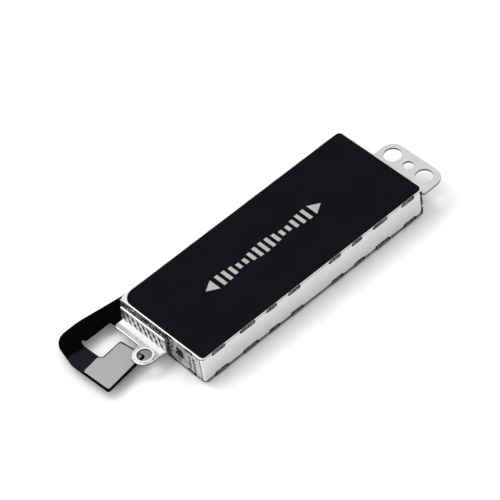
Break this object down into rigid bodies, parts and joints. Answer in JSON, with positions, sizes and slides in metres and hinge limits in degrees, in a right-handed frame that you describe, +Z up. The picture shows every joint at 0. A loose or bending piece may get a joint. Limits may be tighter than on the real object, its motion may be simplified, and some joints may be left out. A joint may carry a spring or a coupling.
{
  "type": "linear resonant haptic actuator",
  "caption": "Flat welded steel linear haptic actuator with a sprung sliding magnet mass, screw tabs at both ends and a flexible circuit tail with a board connector.",
  "frame": {"origin": "centre of the casing's flat underside", "axes": "+X along the casing's length towards the two-hole tab, +Y towards the side that the flexible circuit leaves from, +Z up through the label"},
  "size_m": [0.0409, 0.0147, 0.0036],
  "materials": {
    "casing_steel": "bright rolled stainless steel, satin",
    "bracket_steel": "bright stamped stainless steel with rounded edges",
    "spring_steel": "satin spring steel",
    "label_film": "near-black satin film",
    "resin": "amber-brown cured resin",
    "flex_film": "matte black polyimide cover film",
    "stiffener": "matte grey bead-blasted steel",
    "connector_plastic": "black liquid-crystal polymer",
    "coil_wire": "enamelled copper wire",
    "chip_plastic": "black moulding compound",
    "capacitor_ceramic": "tan ceramic with tinned ends",
    "tungsten": "dark grey sintered tungsten alloy",
    "magnet": "nickel-plated magnet",
    "back_iron": "zinc-plated low-carbon steel",
    "bumper_rubber": "black silicone rubber"
  },
  "bodies": {
    "casing": {"bottom_cover": "casing_steel", "top_cover": "casing_steel", "near_wall": "casing_steel", "far_wall": "casing_steel", "left_end_wall": "casing_steel", "right_end_wall": "casing_steel", "lead_exit_seal": "resin", "top_label": "label_film", "two_hole_tab": "bracket_steel", "eyelet_bracket": "bracket_steel", "bracket_lap_plate": "casing_steel", "flex_cable": "flex_film", "base_circuit": "flex_film", "coil_left": "coil_wire", "coil_right": "coil_wire", "position_sensor": "chip_plastic", "capacitor_near": "capacitor_ceramic", "capacitor_far": "capacitor_ceramic", "leaf_spring_left": "spring_steel", "leaf_spring_right": "spring_steel", "wall_clamp_left": "casing_steel", "wall_clamp_right": "casing_steel", "bumper_left_near": "bumper_rubber", "bumper_left_far": "bumper_rubber", "bumper_right_near": "bumper_rubber", "bumper_right_far": "bumper_rubber"},
    "mass": {"mass_frame": "casing_steel", "tungsten_weight_left": "tungsten", "tungsten_weight_right": "tungsten", "magnet_left_pole": "magnet", "magnet_left_transition": "magnet", "magnet_center_pole": "magnet", "magnet_right_transition": "magnet", "magnet_right_pole": "magnet", "back_iron": "back_iron", "mass_clamp_left": "casing_steel", "mass_clamp_right": "casing_steel"},
    "connector": {"connector_stiffener": "stiffener", "board_connector": "connector_plastic"}
  },
  "joints": [
    {"name": "mass_slide", "type": "slide", "parent": "casing", "child": "mass", "axis": [1, 0, 0], "range_m": [-0.0009, 0.0009], "stiffness_N_per_m": 3000, "deforming": ["leaf_spring_left", "leaf_spring_right"]},
    {"name": "flex_bend", "type": "hinge", "parent": "casing", "child": "connector", "pos_m": [-0.0158, 0.0075, 0.00086], "axis": [0, 1, 0], "range_deg": [-35, 3], "stiffness_Nm_per_rad": 0.0015, "deforming": ["flex_cable"]}
  ]
}
